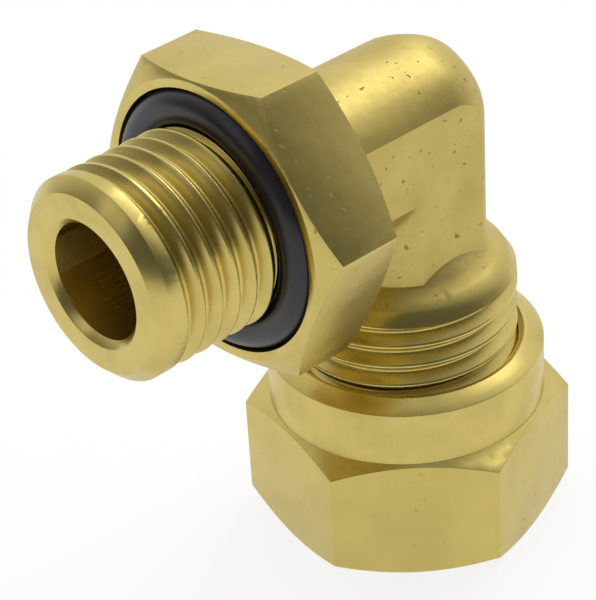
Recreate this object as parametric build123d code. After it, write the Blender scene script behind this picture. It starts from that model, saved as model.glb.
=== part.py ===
"""Male stud compression elbow: a forged and turned body, its O-ring, an olive and a compression nut.

Frame: +Z up, origin at the middle of the tube's entry, on the nut's lower face. The tube runs up along
the Z axis, and the stud points along -X from the elbow's corner, which lies on the Z axis.
"""
import os
from math import cos, radians, sqrt, tan

from build123d import *

# Driving dimensions, in millimetres and degrees. Along the stud, a size is a distance from the elbow's
# corner, and along the tube, a depth below it. Each wall, step, room and clearance is on the radius.

# Stud with a quarter-inch parallel pipe thread, 19 threads to the inch
STUD_THREAD_D = 13.157
STUD_LENGTH = 9.4
STUD_LEAD = 0.8
STUD_MOUTH_CHAMFER = 0.45
RELIEF_DEPTH = 0.9285
RELIEF_LENGTH = 0.66

# O-ring, and the recess in the hexagon's front face that holds it
RING_SECTION_D = 2.6
RING_SIDES = 20
RING_ROOM = 0.3
RING_SQUEEZE = 0.05
RECESS_CLEARANCE = 0.1
RECESS_DEPTH = 1.95

# Hexagon behind the stud
HEX_LENGTH = 5.75
HEX_TURN = -5.2
HEX_FRONT_ANGLE = 27.0
HEX_LIP_WIDTH = 0.55
HEX_EDGE_ROOM = 0.15
HEX_REAR_ANGLE = 22.0
NECK_LENGTH = 4.54
NECK_CHAMFER = 1.1

# Tube, its socket, and the drilled passage
TUBE_D = 10.0
SOCKET_CLEARANCE = 0.05
SOCKET_DEPTH = 8.0
SOCKET_STEP = 1.0
BORE_STEP = 0.25
DRILL_POINT_ANGLE = 59.0
DRILL_OVERRUN = 1.2

# Forged elbow with flat sides
LEG_WALL = 0.8
LEG_SIDE_CUT = 0.75
HEEL_FILLET = 4.6
INNER_FILLET = 1.5

# Barrel that takes the nut, and the flare that it grows out of
BARREL_WALL = 2.54
BARREL_LENGTH = 10.17
BARREL_LEAD = 0.8
BARREL_CONE_WIDTH = 1.35
BARREL_CONE_ANGLE = 30.0
FLARE_DROP = 2.45
FLARE_LENGTH = 1.7
FLARE_HOLLOW = 0.15
FLARE_STEP = 0.6
SHOULDER_LENGTH = 0.9

# Compression nut
NUT_BELOW_BARREL = 8.03
NUT_LENGTH = 13.26
NUT_HEX_LENGTH = 8.8
NUT_WALL = 1.96
NUT_TURN = 18.0
NUT_TOP_ANGLE = 28.0
NUT_FOOT_ANGLE = 30.0
NUT_FOOT_CHAMFER = 0.87
NUT_COLLAR_STEP = 0.23
NUT_BEVEL_WIDTH = 1.1
NUT_BEVEL_HEIGHT = 0.65
NUT_MOUTH_CHAMFER = 0.35
NUT_THREAD_CLEARANCE = 0.06
NUT_TUBE_CLEARANCE = 0.1
NUT_FLOOR = 2.4
NUT_CONE_ANGLE = 45.0
NUT_ENTRY_CHAMFER = 0.3

# Room for the nut's collar, turned out of the hexagon's lower edge
NUT_ROOM_CLEARANCE = 1.63
NUT_ROOM_DROP = 0.4

# Olive, which lies in the nut's cone
OLIVE_WALL = 1.3
OLIVE_CLEARANCE = 0.03
OLIVE_RIM = 0.34
OLIVE_LENGTH = 5.5
OLIVE_GAP = 0.1

# Radii that follow
TUBE_R = TUBE_D / 2
SOCKET_R = TUBE_R + SOCKET_CLEARANCE
LEG_BORE_R = TUBE_R - SOCKET_STEP
STUD_BORE_R = LEG_BORE_R - BORE_STEP
LEG_SIDE = LEG_BORE_R + LEG_WALL
LEG_R = LEG_SIDE + LEG_SIDE_CUT
BARREL_R = TUBE_R + BARREL_WALL
FLARE_R = BARREL_R - FLARE_STEP
STUD_R = STUD_THREAD_D / 2
RELIEF_R = STUD_R - RELIEF_DEPTH
RING_CENTRE_R = RELIEF_R + RING_ROOM + RING_SECTION_D / 2
RECESS_R = RING_CENTRE_R + RING_SECTION_D / 2 + RECESS_CLEARANCE
HEX_LIP_R = RECESS_R + HEX_LIP_WIDTH
HEX_FLAT_R = HEX_LIP_R + HEX_EDGE_ROOM
HEX_CORNER_R = HEX_FLAT_R / cos(radians(30))
NUT_FLAT_R = BARREL_R + NUT_WALL
NUT_CORNER_R = NUT_FLAT_R / cos(radians(30))
NUT_COLLAR_R = NUT_FLAT_R - NUT_COLLAR_STEP
NUT_THREAD_R = BARREL_R + NUT_THREAD_CLEARANCE
NUT_TUBE_R = TUBE_R + NUT_TUBE_CLEARANCE

# Distances along the stud that follow
HEX_REAR = LEG_R + NECK_LENGTH
HEX_FACE = HEX_REAR + HEX_LENGTH
RECESS_FLOOR = HEX_FACE - RECESS_DEPTH
LEVEL_START = (HEX_REAR + RECESS_FLOOR) / 2
STUD_THREAD_START = HEX_FACE + RELIEF_LENGTH
STUD_REACH = HEX_FACE + STUD_LENGTH

# Depths along the tube that follow
FLARE_TOP = LEG_R + FLARE_DROP
FLARE_FOOT = FLARE_TOP + FLARE_LENGTH
THREAD_TOP = FLARE_FOOT + SHOULDER_LENGTH
BARREL_END = THREAD_TOP + BARREL_LENGTH
NUT_FOOT = BARREL_END + NUT_BELOW_BARREL
NUT_MOUTH = NUT_FOOT - NUT_LENGTH
NUT_HEX_TOP = NUT_FOOT - NUT_HEX_LENGTH
NUT_CONE_FOOT = NUT_FOOT - NUT_FLOOR
NUT_ROOM_TOP = FLARE_TOP + NUT_ROOM_DROP
NUT_ROOM_R = NUT_CORNER_R + NUT_ROOM_CLEARANCE

# The part stands on its nut, so the elbow's corner lies this high
CORNER = Vector(0, 0, NUT_FOOT)
STUD_AXIS = Axis(CORNER, (-1, 0, 0))


def turned_about_stud(points):
    """Solid of revolution about the stud's axis. Each point is (distance from the corner, radius)."""
    outline = Polyline(*[CORNER + (-along, 0, radius) for along, radius in points], close=True)
    return revolve(make_face(outline), axis=STUD_AXIS)


def turned_about_tube(points):
    """Solid of revolution about the tube's axis. Each point is (radius, depth below the corner)."""
    outline = Polyline(*[CORNER + (radius, 0, -depth) for radius, depth in points], close=True)
    return revolve(make_face(outline), axis=Axis.Z)


def drilled_about_stud(radius):
    """Drilled hole along the stud, from its end to a little past the corner, with the drill's point."""
    point = radius / tan(radians(DRILL_POINT_ANGLE))
    return turned_about_stud([
        (STUD_REACH + STUD_LEAD, 0),
        (STUD_REACH + STUD_LEAD, radius),
        (-DRILL_OVERRUN, radius),
        (-DRILL_OVERRUN - point, 0),
    ])


def drilled_about_tube(radius):
    """Drilled hole up the barrel, from its end to a little past the corner, with the drill's point."""
    point = radius / tan(radians(DRILL_POINT_ANGLE))
    return turned_about_tube([
        (0, BARREL_END + BARREL_LEAD),
        (radius, BARREL_END + BARREL_LEAD),
        (radius, -DRILL_OVERRUN),
        (0, -DRILL_OVERRUN - point),
    ])


def stud():
    """Stud with a lead chamfer, and the relief behind its thread that the O-ring sits on."""
    return turned_about_stud([
        (LEVEL_START, 0),
        (STUD_REACH, 0),
        (STUD_REACH, STUD_R - STUD_LEAD),
        (STUD_REACH - STUD_LEAD, STUD_R),
        (STUD_THREAD_START, STUD_R),
        (STUD_THREAD_START - (STUD_R - RELIEF_R), RELIEF_R),
        (LEVEL_START, RELIEF_R),
    ])


def stud_hexagon():
    """Hexagon with two level flats, coned at both ends, with the O-ring's recess in its front face."""
    front_plane = Plane(origin=CORNER - (HEX_FACE, 0, 0), x_dir=(0, 1, 0), z_dir=(1, 0, 0))
    flats = RegularPolygon(HEX_FLAT_R, 6, major_radius=False, rotation=HEX_TURN)
    prism = extrude(front_plane * flats, HEX_LENGTH)
    front_cone = (HEX_CORNER_R - HEX_LIP_R) * tan(radians(HEX_FRONT_ANGLE))
    rear_cone = (HEX_CORNER_R - HEX_FLAT_R) * tan(radians(HEX_REAR_ANGLE))
    cones = turned_about_stud([
        (HEX_FACE, 0),
        (HEX_FACE, HEX_LIP_R),
        (HEX_FACE - front_cone, HEX_CORNER_R),
        (HEX_REAR + rear_cone, HEX_CORNER_R),
        (HEX_REAR, HEX_FLAT_R),
        (HEX_REAR, 0),
    ])
    recess = turned_about_stud([
        (HEX_FACE, RELIEF_R),
        (HEX_FACE, RECESS_R),
        (RECESS_FLOOR, RECESS_R),
        (RECESS_FLOOR, RELIEF_R),
    ])
    nut_room = turned_about_tube([
        (0, NUT_ROOM_TOP),
        (NUT_ROOM_R, NUT_ROOM_TOP),
        (NUT_ROOM_R, NUT_FOOT),
        (0, NUT_FOOT),
    ])
    return (prism & cones) - recess - nut_room


def on_mitre(point):
    """Tells whether a point lies on the plane in which the two legs meet."""
    return abs(point.X - (point.Z - CORNER.Z)) < 0.01


def forged_legs():
    """Two round legs with flat sides that meet in a mitre, rounded at the heel and inside the corner."""
    level_start = CORNER - (LEVEL_START, 0, 0)
    upright_end = CORNER - (0, 0, FLARE_FOOT)
    section_plane = Plane(origin=level_start, x_dir=(0, 1, 0), z_dir=(1, 0, 0))
    section = section_plane * (Circle(LEG_R) & Rectangle(2 * LEG_SIDE, 2 * LEG_R))
    legs = sweep(section, path=Polyline(level_start, CORNER, upright_end), transition=Transition.RIGHT)
    heel = [edge for edge in legs.edges() if on_mitre(edge.center()) and edge.center().X > 0]
    legs = fillet(heel, HEEL_FILLET)
    inner = [edge for edge in legs.edges() if on_mitre(edge.center()) and edge.center().X < 0]
    return fillet(inner, INNER_FILLET)


def barrel():
    """Barrel for the nut, with the flare that it grows out of and a lead chamfer at its end."""
    slope = Vector(FLARE_R - LEG_SIDE, 0, -FLARE_LENGTH)
    hollow = Vector(-FLARE_LENGTH, 0, LEG_SIDE - FLARE_R).normalized() * FLARE_HOLLOW
    middle = Vector(LEG_SIDE, 0, -FLARE_TOP) + slope / 2 + hollow
    return turned_about_tube([
        (0, FLARE_TOP),
        (LEG_SIDE, FLARE_TOP),
        (middle.X, -middle.Z),
        (FLARE_R, FLARE_FOOT),
        (BARREL_R, THREAD_TOP),
        (BARREL_R, BARREL_END - BARREL_LEAD),
        (BARREL_R - BARREL_LEAD, BARREL_END),
        (0, BARREL_END),
    ])


def passage():
    """Everything drilled and bored out of the body: both holes, the tube's socket and the cone at its mouth."""
    stud_mouth = turned_about_stud([
        (STUD_REACH + STUD_LEAD, 0),
        (STUD_REACH + STUD_LEAD, STUD_BORE_R + STUD_MOUTH_CHAMFER + STUD_LEAD),
        (STUD_REACH - STUD_MOUTH_CHAMFER, STUD_BORE_R),
        (STUD_REACH - STUD_MOUTH_CHAMFER, 0),
    ])
    socket = turned_about_tube([
        (0, BARREL_END + BARREL_LEAD),
        (SOCKET_R, BARREL_END + BARREL_LEAD),
        (SOCKET_R, BARREL_END - SOCKET_DEPTH),
        (0, BARREL_END - SOCKET_DEPTH),
    ])
    cone_r = SOCKET_R + BARREL_CONE_WIDTH - SOCKET_CLEARANCE
    cone_height = (cone_r - SOCKET_R) / tan(radians(BARREL_CONE_ANGLE))
    cone = turned_about_tube([
        (0, BARREL_END),
        (cone_r, BARREL_END),
        (SOCKET_R, BARREL_END - cone_height),
        (0, BARREL_END - cone_height),
    ])
    return drilled_about_stud(STUD_BORE_R) + drilled_about_tube(LEG_BORE_R) + stud_mouth + socket + cone


def elbow_body():
    """The body, forged, turned and drilled in one piece."""
    blank = stud() + stud_hexagon() + forged_legs()
    neck = [edge for edge in blank.edges() if at_neck(edge)]
    blank = chamfer(neck, NECK_CHAMFER)
    return blank + barrel() - passage()


def at_neck(edge):
    """Tells whether an edge is where the level leg leaves the hexagon's rear face."""
    middle = edge.center() - CORNER
    on_rear_face = all(abs(vertex.X + HEX_REAR) < 0.01 for vertex in edge.vertices())
    return on_rear_face and sqrt(middle.Y ** 2 + middle.Z ** 2) < LEG_R + 0.01


def stud_o_ring():
    """O-ring round the stud's relief, pressed lightly on to the floor of its recess."""
    centre = CORNER + (-(RECESS_FLOOR + RING_SECTION_D / 2 - RING_SQUEEZE), 0, RING_CENTRE_R)
    section = RegularPolygon(RING_SECTION_D / 2, RING_SIDES, major_radius=False)
    ring = revolve(Plane(origin=centre, x_dir=(1, 0, 0), z_dir=(0, -1, 0)) * section, axis=STUD_AXIS)
    floor = turned_about_stud([
        (0, 0),
        (0, STUD_REACH),
        (RECESS_FLOOR, STUD_REACH),
        (RECESS_FLOOR, 0),
    ])
    return ring - floor


def nut_bore_steps():
    """Inside of the nut from its mouth down, as (radius, depth) from the thread to the cone's foot."""
    cone_height = (NUT_THREAD_R - NUT_TUBE_R) / tan(radians(NUT_CONE_ANGLE))
    return [
        (NUT_THREAD_R + NUT_MOUTH_CHAMFER, NUT_MOUTH),
        (NUT_THREAD_R, NUT_MOUTH + NUT_MOUTH_CHAMFER),
        (NUT_THREAD_R, NUT_CONE_FOOT - cone_height),
        (NUT_TUBE_R, NUT_CONE_FOOT),
        (NUT_TUBE_R, NUT_FOOT - NUT_ENTRY_CHAMFER),
        (NUT_TUBE_R + NUT_ENTRY_CHAMFER, NUT_FOOT),
    ]


def compression_nut():
    """Nut with a hexagon below, a round collar above, a thread, a cone for the olive and the tube's entry."""
    top_cone = (NUT_CORNER_R - NUT_COLLAR_R) * tan(radians(NUT_TOP_ANGLE))
    foot_r = NUT_CORNER_R - NUT_FOOT_CHAMFER / tan(radians(NUT_FOOT_ANGLE))
    foot_plane = Plane(origin=CORNER - (0, 0, NUT_FOOT), x_dir=(1, 0, 0), z_dir=(0, 0, 1))
    flats = RegularPolygon(NUT_FLAT_R, 6, major_radius=False, rotation=NUT_TURN)
    prism = extrude(foot_plane * flats, NUT_FOOT - NUT_HEX_TOP)
    hexagon = prism & turned_about_tube([
        (0, NUT_HEX_TOP),
        (NUT_COLLAR_R, NUT_HEX_TOP),
        (NUT_CORNER_R, NUT_HEX_TOP + top_cone),
        (NUT_CORNER_R, NUT_FOOT - NUT_FOOT_CHAMFER),
        (foot_r, NUT_FOOT),
        (0, NUT_FOOT),
    ])
    collar = turned_about_tube([
        (0, NUT_MOUTH),
        (NUT_COLLAR_R - NUT_BEVEL_WIDTH, NUT_MOUTH),
        (NUT_COLLAR_R, NUT_MOUTH + NUT_BEVEL_HEIGHT),
        (NUT_COLLAR_R, NUT_HEX_TOP + top_cone),
        (0, NUT_HEX_TOP + top_cone),
    ])
    bore = turned_about_tube([(0, NUT_MOUTH)] + nut_bore_steps() + [(0, NUT_FOOT)])
    return hexagon + collar - bore


def olive():
    """Olive that lies in the nut's cone, with a long bevel above that will enter the barrel's cone."""
    bore_r = TUBE_R + OLIVE_CLEARANCE
    rim_r = bore_r + OLIVE_RIM
    outer_r = TUBE_R + OLIVE_WALL
    foot = NUT_CONE_FOOT - (rim_r - NUT_TUBE_R) / tan(radians(NUT_CONE_ANGLE)) - OLIVE_GAP
    lower_bevel = (outer_r - rim_r) / tan(radians(NUT_CONE_ANGLE))
    upper_bevel = (outer_r - rim_r) / tan(radians(BARREL_CONE_ANGLE))
    top = foot - OLIVE_LENGTH
    return turned_about_tube([
        (bore_r, top),
        (rim_r, top),
        (outer_r, top + upper_bevel),
        (outer_r, foot - lower_bevel),
        (rim_r, foot),
        (bore_r, foot),
    ])


NODES = {
    "elbow_body": elbow_body,
    "stud_o_ring": stud_o_ring,
    "compression_nut": compression_nut,
    "olive": olive,
}

if __name__ == "__main__":
    os.makedirs("parts", exist_ok=True)
    for name, make in NODES.items():
        solid = make()
        export_step(solid, f"parts/{name}.step")
        box = solid.bounding_box()
        print(name, round(solid.volume, 1), "mm3", box)
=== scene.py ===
"""Dresses the male stud compression elbow: cut threads, brass, rubber, stage and camera."""
import math

import bpy
from mathutils import Matrix, Vector


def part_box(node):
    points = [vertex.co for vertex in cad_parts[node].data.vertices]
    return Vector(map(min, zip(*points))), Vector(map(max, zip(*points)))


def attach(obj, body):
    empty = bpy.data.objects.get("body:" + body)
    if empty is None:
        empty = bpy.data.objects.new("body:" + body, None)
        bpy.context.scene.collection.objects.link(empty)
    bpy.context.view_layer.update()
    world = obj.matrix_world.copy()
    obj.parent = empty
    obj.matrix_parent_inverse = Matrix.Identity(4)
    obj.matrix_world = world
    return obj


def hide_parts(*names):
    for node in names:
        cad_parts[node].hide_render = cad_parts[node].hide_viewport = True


bl_info = {
    "name": "Male Stud Compression Elbow",
    "version": (1, 0, 0),
    "blender": (4, 5, 0),
    "location": "View3D > Sidebar > Fitting",
    "description": "Builds the dressed elbow fitting round its packed solids",
    "category": "Object",
}

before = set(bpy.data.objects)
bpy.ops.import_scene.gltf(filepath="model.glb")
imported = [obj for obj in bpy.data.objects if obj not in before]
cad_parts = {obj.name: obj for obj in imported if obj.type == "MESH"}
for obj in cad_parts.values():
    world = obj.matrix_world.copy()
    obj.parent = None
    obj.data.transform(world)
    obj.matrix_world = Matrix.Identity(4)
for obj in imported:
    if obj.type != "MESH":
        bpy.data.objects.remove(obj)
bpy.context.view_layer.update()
MM = 0.001

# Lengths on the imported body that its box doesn't give
STUD_LENGTH = 9.4 * MM
HEX_LENGTH = 5.75 * MM

# Radius of the O-ring's section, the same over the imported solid's corners, and how far it is pressed down
RING_SECTION_R = 1.30 * MM
RING_CORNER_R = 1.3165 * MM
RING_SQUEEZE = 0.05 * MM

# Corners of the solids' boxes, and from them the height of the elbow's corner and the hexagon's two faces
BODY_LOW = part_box("elbow_body")[0]
NUT_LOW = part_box("compression_nut")[0]
RING_LOW, RING_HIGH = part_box("stud_o_ring")
CORNER_Z = (RING_LOW.z + RING_HIGH.z) / 2
HEX_FACE_X = BODY_LOW.x + STUD_LENGTH
HEX_REAR_X = HEX_FACE_X + HEX_LENGTH

# Where one finish of the body or the nut gives way to the next
FACE_ROOM = 0.05 * MM
RECESS_PAINT_DEPTH = 2.2 * MM
RECESS_PAINT_R = 8.8 * MM
HEX_PAINT_R = 8.9 * MM
BARREL_PAINT_DROP = 9.65 * MM
BARREL_PAINT_R = 7.7 * MM
NUT_PAINT_HEIGHT = 8.9 * MM
NUT_BORE_PAINT_R = 8.0 * MM

# Form of a thread's groove: its rounds as a share of the pitch, its lean, and the steps of its rounds
THREAD_ROUND = 0.137
THREAD_LEAN = math.radians(27.5)
ROOT_STEPS = 3
CREST_STEPS = 4
CREST_REST = 0.15
CUTTER_ROOM = 0.35 * MM

# Turns of each thread's cutter, and the turns over which it runs in or out
STUD_TURNS = 6
STUD_RUN_IN = 0.7
BARREL_TURNS = 7
BARREL_RUN_OUT = 0.3
RUN_POWER = 1.5

# Points closer than this are merged, and flat faces within this angle are made one
MERGE_GAP = 0.0005 * MM
FLAT_ANGLE = math.radians(0.4)

# Turn that lays an upright piece along the stud
LYING = Matrix.Rotation(math.pi / 2, 4, "Y")

# Colours of the pits and the dust, and how the noise of turned rings is squeezed, by the rings' axis
PIT_COLOUR = (0.30, 0.22, 0.07)
DUST_COLOUR = (0.05, 0.042, 0.055)
LATHE_SQUEEZE = {"X": (1, 0.02, 0.02), "Z": (0.02, 0.02, 1)}

# Lamps as (name, place, size, power), in metres and watts, and the point that they face
LAMP_AIM = (0, 0, 0.022)
LAMPS = (
    ("soft_box", (0.30, 0.05, 0.42), (0.30, 0.20), 0.40),
    ("fill_lamp", (-0.45, 0.10, 0.40), (0.30, 0.30), 0.16),
)

# Floor's width, its share of glow and how much stronger that is for the camera
FLOOR_SIZE = 4.0
GLOW_SHARE = 0.7
CAMERA_LIFT = 0.18

# Camera's sensor in millimetres, and its nearest and farthest sight in metres
SENSOR_WIDTH = 36.0
SIGHT_NEAR = 0.01
SIGHT_FAR = 10.0

# Direction of the world's bright side, and its greys as (nearness to that side, grey)
BRIGHT_SIDE = (0.60, 0.55, 0.58)
WORLD_GREYS = ((0.0, 0.10), (0.52, 0.12), (0.66, 0.30), (0.82, 0.80), (1.0, 0.84))


class ThreadSizes(bpy.types.PropertyGroup):
    """Sizes of the cut threads."""
    stud_radius: bpy.props.FloatProperty(
        name="Stud radius", description="Radius over the stud's crests", default=6.5785 * MM, unit="LENGTH")
    stud_pitch: bpy.props.FloatProperty(
        name="Stud pitch", description="Travel for one turn of the stud", default=1.337 * MM, unit="LENGTH")
    stud_depth: bpy.props.FloatProperty(
        name="Stud thread depth", description="Crest to root on the stud", default=0.66 * MM, unit="LENGTH")
    barrel_radius: bpy.props.FloatProperty(
        name="Barrel radius", description="Radius over the barrel's crests",
        default=7.54 * MM, unit="LENGTH")
    barrel_pitch: bpy.props.FloatProperty(
        name="Barrel pitch", description="Travel for one turn of the nut", default=1.5 * MM, unit="LENGTH")
    barrel_depth: bpy.props.FloatProperty(
        name="Barrel thread depth", description="Crest to root on the barrel",
        default=0.72 * MM, unit="LENGTH")
    barrel_top: bpy.props.FloatProperty(
        name="Barrel thread top", description="Height of the highest groove",
        default=18.05 * MM, unit="LENGTH")
    steps: bpy.props.IntProperty(
        name="Steps", description="Steps in one turn of a thread", default=96, min=24, max=160)


class BrassLooks(bpy.types.PropertyGroup):
    """Colours and finish of the brass and the rubber."""
    brass: bpy.props.FloatVectorProperty(
        name="Brass", description="Main colour of the brass", subtype="COLOR",
        default=(0.72, 0.58, 0.185), min=0, max=1)
    deep: bpy.props.FloatVectorProperty(
        name="Tarnish", description="Colour of the tarnished patches", subtype="COLOR",
        default=(0.50, 0.39, 0.10), min=0, max=1)
    rubber: bpy.props.FloatVectorProperty(
        name="Rubber", description="Colour of the O-ring", subtype="COLOR",
        default=(0.020, 0.016, 0.022), min=0, max=1)
    forged_roughness: bpy.props.FloatProperty(
        name="Forged roughness", description="Roughness of the forged skin", subtype="FACTOR",
        default=0.46, min=0, max=1)
    turned_roughness: bpy.props.FloatProperty(
        name="Turned roughness", description="Roughness of the turned surfaces", subtype="FACTOR",
        default=0.27, min=0, max=1)


class StageLooks(bpy.types.PropertyGroup):
    """Where the camera stands, the way it looks, and the floor's colour."""
    azimuth: bpy.props.FloatProperty(
        name="Camera turn", description="Turn of the camera about the upright", subtype="ANGLE",
        default=math.radians(-41.127))
    elevation: bpy.props.FloatProperty(
        name="Camera height", description="Angle of the camera above level", subtype="ANGLE",
        default=math.radians(33.177))
    roll: bpy.props.FloatProperty(
        name="Camera roll", description="Roll of the camera", subtype="ANGLE", default=math.radians(-3.611))
    place: bpy.props.FloatVectorProperty(
        name="Camera place", description="Where the camera stands", subtype="TRANSLATION",
        default=(-100.27 * MM, -104.23 * MM, 110.43 * MM))
    lens: bpy.props.FloatProperty(
        name="Lens", description="Focal length in millimetres", default=156.48)
    floor: bpy.props.FloatVectorProperty(
        name="Floor", description="Colour of the floor", subtype="COLOR",
        default=(0.9, 0.9, 0.9), min=0, max=1)


def deselect():
    """Leaves edit mode and selects nothing."""
    if bpy.context.object and bpy.context.object.mode != "OBJECT":
        bpy.ops.object.mode_set(mode="OBJECT")
    bpy.ops.object.select_all(action="DESELECT")


def pick(piece):
    """Makes one piece the active and only selected one."""
    deselect()
    piece.select_set(True)
    bpy.context.view_layer.objects.active = piece


def apply_modifier(piece, kind, **settings):
    """Adds one modifier with these settings and applies it."""
    pick(piece)
    bpy.ops.object.modifier_add(type=kind)
    modifier = piece.modifiers[-1]
    for key, value in settings.items():
        setattr(modifier, key, value)
    bpy.ops.object.modifier_apply(modifier=modifier.name)


def soften_edges(piece, width, segments, angle):
    """Rounds the edges where a piece's faces turn by more than this many degrees."""
    apply_modifier(piece, "BEVEL", width=width, segments=segments, limit_method="ANGLE",
                   angle_limit=math.radians(angle), harden_normals=False)


def copy_of_node(node, name):
    """Copy of a solid's mesh as a new piece, with loose triangles merged and flat faces made whole."""
    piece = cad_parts[node].copy()
    piece.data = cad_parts[node].data.copy()
    piece.name = name
    piece.data.name = name
    piece.parent = None
    for key in list(piece.keys()):
        del piece[key]
    bpy.context.scene.collection.objects.link(piece)
    piece.data.materials.clear()
    pick(piece)
    bpy.ops.object.mode_set(mode="EDIT")
    bpy.ops.mesh.select_all(action="SELECT")
    bpy.ops.mesh.remove_doubles(threshold=MERGE_GAP)
    bpy.ops.mesh.dissolve_limited(angle_limit=FLAT_ANGLE)
    bpy.ops.object.mode_set(mode="OBJECT")
    if piece.data.has_custom_normals:
        bpy.ops.mesh.customdata_custom_splitnormals_clear()
    return piece


def groove_outline(radius, depth, pitch):
    """One groove's outline as (radius, along) points, with a round root and rounded crests."""
    round_r = THREAD_ROUND * pitch
    root_centre = radius - depth + round_r
    quarter = math.pi / 2
    root = []
    for step in range(-ROOT_STEPS, ROOT_STEPS + 1):
        angle = -quarter + (quarter - THREAD_LEAN) * step / ROOT_STEPS
        root.append((root_centre + round_r * math.sin(angle), round_r * math.cos(angle)))
    crest = []
    for step in range(CREST_STEPS + 1):
        angle = math.pi - THREAD_LEAN - (quarter - THREAD_LEAN - CREST_REST) * step / CREST_STEPS
        crest.append((
            radius - round_r + round_r * math.sin(angle),
            pitch / 2 + round_r * math.cos(angle),
        ))
    crest.append((radius + CUTTER_ROOM, crest[-1][1]))
    mirrored = [(out, -along) for out, along in reversed(crest)]
    return mirrored + root + crest


def thread_cutter(name, radius, depth, pitch, turns, steps, fade_low, fade_high):
    """Long screw-shaped cutter about the upright. At an end it rises out of the metal over some turns."""
    outline = groove_outline(radius, depth, pitch)
    bpy.ops.mesh.primitive_circle_add(vertices=len(outline), radius=radius, fill_type="NOTHING")
    cutter = bpy.context.object
    cutter.name = name
    for vertex, (out, along) in zip(cutter.data.vertices, outline):
        vertex.co = (out, 0, along)
    count = len(outline)
    apply_modifier(
        cutter, "SCREW", axis="Z", angle=math.tau, screw_offset=pitch, iterations=turns, steps=steps,
        render_steps=steps, use_merge_vertices=False, use_smooth_shade=False)
    rows = len(cutter.data.vertices) // count
    for vertex in cutter.data.vertices:
        turn = vertex.index // count / steps
        from_low = turn / fade_low if fade_low else 1
        from_high = (rows / steps - turn) / fade_high if fade_high else 1
        left = min(from_low, from_high)
        if left < 1:
            out = math.hypot(vertex.co.x, vertex.co.y)
            share = 1 + depth * (1 - left) ** RUN_POWER / out
            vertex.co.x *= share
            vertex.co.y *= share
    pick(cutter)
    bpy.ops.object.mode_set(mode="EDIT")
    bpy.ops.mesh.select_all(action="SELECT")
    bpy.ops.mesh.fill_holes(sides=0)
    bpy.ops.mesh.select_all(action="SELECT")
    bpy.ops.mesh.normals_make_consistent(inside=False)
    bpy.ops.object.mode_set(mode="OBJECT")
    return cutter


def place_mesh(piece, matrix):
    """Moves a piece's mesh and leaves its object at the origin."""
    piece.matrix_world = matrix
    pick(piece)
    bpy.ops.object.transform_apply(location=True, rotation=True, scale=True)


def cut(piece, cutter):
    """Cuts one mesh out of another and removes the cutter."""
    apply_modifier(piece, "BOOLEAN", operation="DIFFERENCE", solver="EXACT", object=cutter)
    bpy.data.objects.remove(cutter)
    pick(piece)
    bpy.ops.object.mode_set(mode="EDIT")
    bpy.ops.mesh.select_all(action="SELECT")
    bpy.ops.mesh.remove_doubles(threshold=MERGE_GAP)
    bpy.ops.mesh.normals_make_consistent(inside=False)
    bpy.ops.object.mode_set(mode="OBJECT")


def cut_thread(piece, cutter, place, turn=Matrix.Identity(4)):
    """Turns a thread's cutter, moves it to its place and cuts it out of a piece."""
    place_mesh(cutter, Matrix.Translation(place) @ turn)
    cut(piece, cutter)


def from_stud_axis(point):
    """Distance of a point from the stud's axis."""
    return math.hypot(point.y, point.z - CORNER_Z)


def from_tube_axis(point):
    """Distance of a point from the tube's axis."""
    return math.hypot(point.x, point.y)


def on_turned_stud(point):
    """Tells whether a point is on the stud or in the O-ring's recess."""
    in_recess = point.x < HEX_FACE_X + RECESS_PAINT_DEPTH and from_stud_axis(point) < RECESS_PAINT_R
    return point.x < HEX_FACE_X + FACE_ROOM or in_recess


def on_turned_barrel(point):
    """Tells whether a point is on the barrel."""
    return point.z < CORNER_Z - BARREL_PAINT_DROP and from_tube_axis(point) < BARREL_PAINT_R


def on_hexagon(point):
    """Tells whether a point is on the flats or the cones of the body's hexagon."""
    return HEX_FACE_X < point.x < HEX_REAR_X and from_stud_axis(point) > HEX_PAINT_R


def on_turned_nut(point):
    """Tells whether a point is on the nut's collar or in its bore."""
    return point.z > NUT_LOW.z + NUT_PAINT_HEIGHT or from_tube_axis(point) < NUT_BORE_PAINT_R


def paint_by_place(piece, test, slot):
    """Gives a material slot to the faces whose middle passes a test."""
    for face in piece.data.polygons:
        if test(face.center):
            face.material_index = slot


def finish_piece(piece, node, body, angle=30):
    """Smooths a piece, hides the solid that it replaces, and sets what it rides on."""
    pick(piece)
    bpy.ops.object.shade_smooth_by_angle(angle=math.radians(angle))
    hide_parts(node)
    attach(piece, body)


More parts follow.
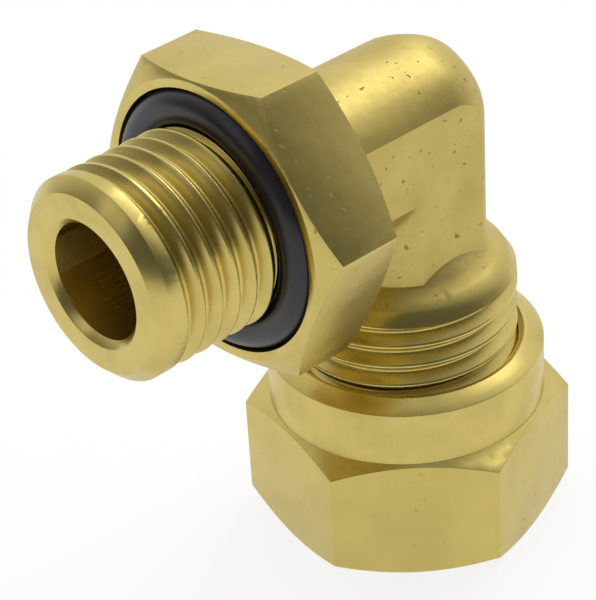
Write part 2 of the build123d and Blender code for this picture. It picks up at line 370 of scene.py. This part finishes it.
class Shader:
    """Small helper that adds nodes to one material and joins them."""

    def __init__(self, name):
        self.material = bpy.data.materials.new(name)
        self.material.use_nodes = True
        self.tree = self.material.node_tree
        self.surface = self.tree.nodes["Principled BSDF"]
        self.place = self.tree.nodes.new("ShaderNodeTexCoord").outputs["Object"]

    def add(self, kind, links=None, **settings):
        """Adds a node, sets its settings, and joins or sets its inputs."""
        node = self.tree.nodes.new(kind)
        for key, value in settings.items():
            setattr(node, key, value)
        for socket, value in (links or {}).items():
            self.feed(node.inputs[socket], value)
        return node

    def feed(self, socket, value):
        """Joins a node's output to a socket, or sets the socket's own value."""
        if isinstance(value, bpy.types.NodeSocket):
            self.tree.links.new(value, socket)
        elif isinstance(value, bpy.types.Node):
            self.tree.links.new(value.outputs[0], socket)
        else:
            socket.default_value = value

    def noise(self, size, detail=4.0, rough=0.55, squeeze=(1, 1, 1), distort=0.0):
        """Noise whose features are about this many millimetres across."""
        scale = 1000.0 / size
        mapping = self.add(
            "ShaderNodeMapping", {"Vector": self.place, "Scale": tuple(scale * s for s in squeeze)})
        return self.add("ShaderNodeTexNoise", {
            "Vector": mapping, "Scale": 1.0, "Detail": detail, "Roughness": rough, "Distortion": distort})

    def ramp(self, value, stops):
        """Curve from a value to greys or colours, through (position, colour) stops."""
        node = self.add("ShaderNodeValToRGB", {"Fac": value})
        band = node.color_ramp
        while len(band.elements) < len(stops):
            band.elements.new(0.5)
        for element, (position, colour) in zip(band.elements, stops):
            element.position = position
            tone = (colour,) * 3 if isinstance(colour, (int, float)) else colour
            element.color = (*tone, 1)
        return node

    def scaled(self, value, low, high):
        """Maps 0 to 1 on to another range."""
        return self.add("ShaderNodeMapRange", {
            "Value": value, "From Min": 0.0, "From Max": 1.0, "To Min": low, "To Max": high})

    def mixed(self, factor, first, second):
        """Mix of two colours."""
        node = self.tree.nodes.new("ShaderNodeMix")
        node.data_type = "RGBA"
        self.feed(node.inputs["Factor"], factor)
        for socket, value in ((node.inputs[6], first), (node.inputs[7], second)):
            self.feed(socket, (*value, 1) if isinstance(value, (tuple, list)) else value)
        return node.outputs[2]

    def summed(self, first, second):
        """Sum of two values."""
        return self.add("ShaderNodeMath", {0: first, 1: second}, operation="ADD")

    def bump(self, height, depth, before=None):
        """Bump whose full height is this many millimetres."""
        links = {"Height": height, "Strength": 1.0, "Distance": depth * MM}
        if before is not None:
            links["Normal"] = before.outputs["Normal"]
        return self.add("ShaderNodeBump", links)


def forged_brass(name, looks, roughness, patch=0.5, pit=0.5, grain=0.010):
    """Forged and tumbled skin: soft patches, small pits and a fine grain."""
    shader = Shader(name)
    broad = shader.noise(size=5.0, detail=3.0)
    fine = shader.noise(size=0.55, detail=6.0, rough=0.65)
    pits = shader.noise(size=0.55, detail=2.0, rough=0.45, distort=0.2)
    patches = shader.ramp(broad, [(0.35, 0.0), (0.65, 1.0)])
    holes = shader.ramp(pits, [(0.255, 1.0), (0.315, 0.0)])
    base = shader.mixed(shader.scaled(patches, 0.0, patch), tuple(looks.brass), tuple(looks.deep))
    spotted = shader.mixed(shader.scaled(holes, 0.0, pit), base, PIT_COLOUR)
    shader.feed(shader.surface.inputs["Base Color"], spotted)
    shader.surface.inputs["Metallic"].default_value = 1.0
    even = shader.scaled(fine, roughness - 0.10, roughness + 0.10)
    rough = shader.summed(even, shader.scaled(holes, 0.0, 0.25))
    shader.feed(shader.surface.inputs["Roughness"], rough)
    low = shader.bump(broad, depth=0.10)
    skin = shader.bump(fine, depth=grain, before=low)
    hole = shader.bump(shader.scaled(holes, pit, 0.0), depth=0.03, before=skin)
    shader.feed(shader.surface.inputs["Normal"], hole.outputs["Normal"])
    return shader.material


def turned_brass(name, looks, roughness, axis):
    """Turned metal: fine rings about an axis, slight stains, and a bright polish."""
    shader = Shader(name)
    squeeze = LATHE_SQUEEZE[axis]
    rings = shader.noise(size=0.12, detail=2.0, squeeze=squeeze)
    stain = shader.noise(size=3.0, detail=4.0)
    stained = shader.ramp(stain, [(0.40, 0.0), (0.72, 1.0)])
    base = shader.mixed(shader.scaled(stained, 0.0, 0.45), tuple(looks.brass), tuple(looks.deep))
    shader.feed(shader.surface.inputs["Base Color"], base)
    shader.surface.inputs["Metallic"].default_value = 1.0
    rough = shader.scaled(stain, roughness - 0.06, roughness + 0.10)
    shader.feed(shader.surface.inputs["Roughness"], rough)
    groove = shader.bump(rings, depth=0.004)
    shader.feed(shader.surface.inputs["Normal"], groove.outputs["Normal"])
    return shader.material


def black_rubber(name, looks):
    """Moulded rubber: almost black, a little purple, with a soft sheen and faint dust."""
    shader = Shader(name)
    cloud = shader.noise(size=2.5, detail=3.0)
    fine = shader.noise(size=0.25, detail=4.0)
    dusty = shader.ramp(cloud, [(0.45, 0.0), (0.8, 1.0)])
    base = shader.mixed(shader.scaled(dusty, 0.0, 0.5), tuple(looks.rubber), DUST_COLOUR)
    shader.feed(shader.surface.inputs["Base Color"], base)
    shader.feed(shader.surface.inputs["Roughness"], shader.scaled(fine, 0.26, 0.38))
    shader.feed(shader.surface.inputs["Normal"], shader.bump(fine, depth=0.004).outputs["Normal"])
    shader.surface.inputs["Specular IOR Level"].default_value = 0.6
    return shader.material


class FITTING_OT_elbow_body(bpy.types.Operator):
    """Cuts the threads on the forged body and gives each of its surfaces its own finish"""
    bl_idname = "fitting.elbow_body"
    bl_label = "Elbow body"

    def execute(self, context):
        sizes = context.scene.fitting_threads
        looks = context.scene.fitting_brass
        piece = copy_of_node("elbow_body", "forged_elbow")
        soften_edges(piece, width=0.10 * MM, segments=2, angle=25)
        cutter = thread_cutter(
            "stud_cutter", sizes.stud_radius, sizes.stud_depth, sizes.stud_pitch, STUD_TURNS,
            sizes.steps, fade_low=STUD_RUN_IN, fade_high=0)
        start = HEX_FACE_X + FACE_ROOM - sizes.stud_pitch * STUD_TURNS
        cut_thread(piece, cutter, (start, 0, CORNER_Z), LYING)
        cutter = thread_cutter(
            "barrel_cutter", sizes.barrel_radius, sizes.barrel_depth, sizes.barrel_pitch, BARREL_TURNS,
            sizes.steps, fade_low=0, fade_high=BARREL_RUN_OUT)
        cut_thread(piece, cutter, (0, 0, sizes.barrel_top - sizes.barrel_pitch * BARREL_TURNS))
        flat_roughness = looks.forged_roughness - 0.12
        for material in (
            forged_brass("forged_skin", looks, looks.forged_roughness),
            turned_brass("turned_stud", looks, looks.turned_roughness, "X"),
            turned_brass("turned_barrel", looks, looks.turned_roughness, "Z"),
            forged_brass("forged_flat", looks, flat_roughness, patch=0.3, pit=0.2, grain=0.004),
        ):
            piece.data.materials.append(material)
        for slot, test in enumerate((on_turned_stud, on_turned_barrel, on_hexagon), start=1):
            paint_by_place(piece, test, slot)
        finish_piece(piece, "elbow_body", "fitting")
        return {"FINISHED"}


class FITTING_OT_stud_o_ring(bpy.types.Operator):
    """Models the smooth rubber ring round the stud"""
    bl_idname = "fitting.stud_o_ring"
    bl_label = "O-ring"

    def execute(self, context):
        looks = context.scene.fitting_brass
        bpy.ops.mesh.primitive_torus_add(
            major_radius=(RING_HIGH.z - RING_LOW.z) / 2 - RING_CORNER_R, minor_radius=RING_SECTION_R,
            major_segments=144, minor_segments=40)
        piece = bpy.context.object
        piece.name = "rubber_ring"
        recess_floor = RING_HIGH.x
        centre_x = recess_floor - RING_SECTION_R + RING_SQUEEZE
        place_mesh(piece, Matrix.Translation((centre_x, 0, CORNER_Z)) @ LYING)
        pick(piece)
        bpy.ops.object.mode_set(mode="EDIT")
        bpy.ops.mesh.select_all(action="SELECT")
        bpy.ops.mesh.bisect(
            plane_co=(recess_floor, 0, 0), plane_no=(1, 0, 0), clear_outer=True, use_fill=True)
        bpy.ops.object.mode_set(mode="OBJECT")
        piece.data.materials.append(black_rubber("ring_rubber", looks))
        finish_piece(piece, "stud_o_ring", "fitting", angle=40)
        return {"FINISHED"}


class FITTING_OT_compression_nut(bpy.types.Operator):
    """Softens the nut's edges and gives it its turned and rolled finish"""
    bl_idname = "fitting.compression_nut"
    bl_label = "Compression nut"

    def execute(self, context):
        looks = context.scene.fitting_brass
        piece = copy_of_node("compression_nut", "compression_nut_dressed")
        soften_edges(piece, width=0.16 * MM, segments=3, angle=20)
        skin_roughness = looks.turned_roughness + 0.06
        piece.data.materials.append(
            forged_brass("nut_skin", looks, skin_roughness, patch=0.3, pit=0.0, grain=0.003))
        piece.data.materials.append(turned_brass("nut_turned", looks, looks.turned_roughness, "Z"))
        paint_by_place(piece, on_turned_nut, 1)
        finish_piece(piece, "compression_nut", "nut")
        return {"FINISHED"}


class FITTING_OT_olive(bpy.types.Operator):
    """Softens the olive's edges and gives it its turned finish"""
    bl_idname = "fitting.olive"
    bl_label = "Olive"

    def execute(self, context):
        looks = context.scene.fitting_brass
        piece = copy_of_node("olive", "olive_dressed")
        soften_edges(piece, width=0.06 * MM, segments=2, angle=20)
        piece.data.materials.append(turned_brass("olive_turned", looks, looks.turned_roughness, "Z"))
        finish_piece(piece, "olive", "olive_ring")
        return {"FINISHED"}


def area_lamp(name, place, size, power):
    """Soft rectangular white lamp that faces the fitting."""
    bpy.ops.object.light_add(type="AREA", location=place)
    lamp = bpy.context.object
    lamp.name = name
    lamp.data.shape = "RECTANGLE"
    lamp.data.size = size[0]
    lamp.data.size_y = size[1]
    lamp.data.energy = power
    lamp.rotation_euler = (Vector(LAMP_AIM) - Vector(place)).to_track_quat("-Z", "Y").to_euler()


def floor_white(stage):
    """White floor that keeps a soft shadow and glows to the camera and in reflections."""
    paint = bpy.data.materials.new("floor_white")
    paint.use_nodes = True
    nodes = paint.node_tree.nodes
    links = paint.node_tree.links
    surface = nodes["Principled BSDF"]
    surface.inputs["Base Color"].default_value = (*stage.floor, 1)
    surface.inputs["Roughness"].default_value = 1.0
    glow = nodes.new("ShaderNodeEmission")
    rays = nodes.new("ShaderNodeLightPath")
    lift = nodes.new("ShaderNodeMath")
    lift.operation = "MULTIPLY_ADD"
    lift.inputs[1].default_value = CAMERA_LIFT
    lift.inputs[2].default_value = 1.0
    links.new(rays.outputs["Is Camera Ray"], lift.inputs[0])
    links.new(lift.outputs[0], glow.inputs["Strength"])
    seen = nodes.new("ShaderNodeMath")
    seen.operation = "MAXIMUM"
    links.new(rays.outputs["Is Camera Ray"], seen.inputs[0])
    links.new(rays.outputs["Is Glossy Ray"], seen.inputs[1])
    share = nodes.new("ShaderNodeMath")
    share.operation = "MULTIPLY"
    share.inputs[1].default_value = GLOW_SHARE
    links.new(seen.outputs[0], share.inputs[0])
    mix = nodes.new("ShaderNodeMixShader")
    links.new(share.outputs[0], mix.inputs["Fac"])
    links.new(surface.outputs["BSDF"], mix.inputs[1])
    links.new(glow.outputs["Emission"], mix.inputs[2])
    links.new(mix.outputs["Shader"], nodes["Material Output"].inputs["Surface"])
    return paint


def studio_world():
    """Studio that is bright behind and above the fitting, dark in front, and white where it is seen."""
    world = bpy.data.worlds.new("studio")
    world.use_nodes = True
    nodes = world.node_tree.nodes
    links = world.node_tree.links
    way = nodes.new("ShaderNodeTexCoord")
    dot = nodes.new("ShaderNodeVectorMath")
    dot.operation = "DOT_PRODUCT"
    dot.inputs[1].default_value = Vector(BRIGHT_SIDE).normalized()
    links.new(way.outputs["Generated"], dot.inputs[0])
    half = nodes.new("ShaderNodeMapRange")
    half.inputs["From Min"].default_value = -1.0
    half.inputs["From Max"].default_value = 1.0
    links.new(dot.outputs["Value"], half.inputs["Value"])
    band = nodes.new("ShaderNodeValToRGB")
    while len(band.color_ramp.elements) < len(WORLD_GREYS):
        band.color_ramp.elements.new(0.5)
    for element, (position, grey) in zip(band.color_ramp.elements, WORLD_GREYS):
        element.position = position
        element.color = (grey, grey, grey, 1)
    links.new(half.outputs["Result"], band.inputs["Fac"])
    lit = nodes["Background"]
    links.new(band.outputs["Color"], lit.inputs["Color"])
    lit.inputs["Strength"].default_value = 1.0
    white = nodes.new("ShaderNodeBackground")
    white.inputs["Color"].default_value = (1, 1, 1, 1)
    rays = nodes.new("ShaderNodeLightPath")
    mix = nodes.new("ShaderNodeMixShader")
    links.new(rays.outputs["Is Camera Ray"], mix.inputs["Fac"])
    links.new(lit.outputs["Background"], mix.inputs[1])
    links.new(white.outputs["Background"], mix.inputs[2])
    links.new(mix.outputs["Shader"], nodes["World Output"].inputs["Surface"])
    return world


class FITTING_OT_stage(bpy.types.Operator):
    """Sets the floor, the lamps, the world and the camera"""
    bl_idname = "fitting.stage"
    bl_label = "Stage"

    def execute(self, context):
        stage = context.scene.fitting_stage
        bpy.ops.mesh.primitive_plane_add(size=FLOOR_SIZE, location=(0, 0, 0))
        floor = bpy.context.object
        floor.name = "floor"
        floor.data.materials.append(floor_white(stage))
        for lamp in LAMPS:
            area_lamp(*lamp)
        context.scene.world = studio_world()
        pitch = Matrix.Rotation(math.pi / 2 - stage.elevation, 4, "X")
        turn = Matrix.Rotation(stage.azimuth, 4, "Z") @ pitch @ Matrix.Rotation(stage.roll, 4, "Z")
        bpy.ops.object.camera_add(location=stage.place, rotation=turn.to_euler())
        camera = bpy.context.object
        camera.name = "camera"
        camera.data.lens = stage.lens
        camera.data.sensor_width = SENSOR_WIDTH
        camera.data.clip_start = SIGHT_NEAR
        camera.data.clip_end = SIGHT_FAR
        context.scene.camera = camera
        context.scene.view_settings.view_transform = "Standard"
        return {"FINISHED"}


class FITTING_PT_panel(bpy.types.Panel):
    """Lists the fitting's pieces"""
    bl_idname = "FITTING_PT_panel"
    bl_label = "Elbow fitting"
    bl_space_type = "VIEW_3D"
    bl_region_type = "UI"
    bl_category = "Fitting"

    def draw(self, context):
        for step in STEPS:
            self.layout.operator(step.bl_idname)


STEPS = (
    FITTING_OT_elbow_body,
    FITTING_OT_stud_o_ring,
    FITTING_OT_compression_nut,
    FITTING_OT_olive,
    FITTING_OT_stage,
)
GROUPS = (
    ("fitting_threads", ThreadSizes),
    ("fitting_brass", BrassLooks),
    ("fitting_stage", StageLooks),
)


def register():
    for name, group in GROUPS:
        bpy.utils.register_class(group)
        setattr(bpy.types.Scene, name, bpy.props.PointerProperty(type=group))
    for step in STEPS:
        bpy.utils.register_class(step)
    bpy.utils.register_class(FITTING_PT_panel)


def unregister():
    bpy.utils.unregister_class(FITTING_PT_panel)
    for step in reversed(STEPS):
        bpy.utils.unregister_class(step)
    for name, group in reversed(GROUPS):
        delattr(bpy.types.Scene, name)
        bpy.utils.unregister_class(group)


def main():
    register()
    bpy.ops.fitting.elbow_body()
    bpy.ops.fitting.stud_o_ring()
    bpy.ops.fitting.compression_nut()
    bpy.ops.fitting.olive()
    bpy.ops.fitting.stage()
    deselect()


if __name__ == "__main__":
    main()
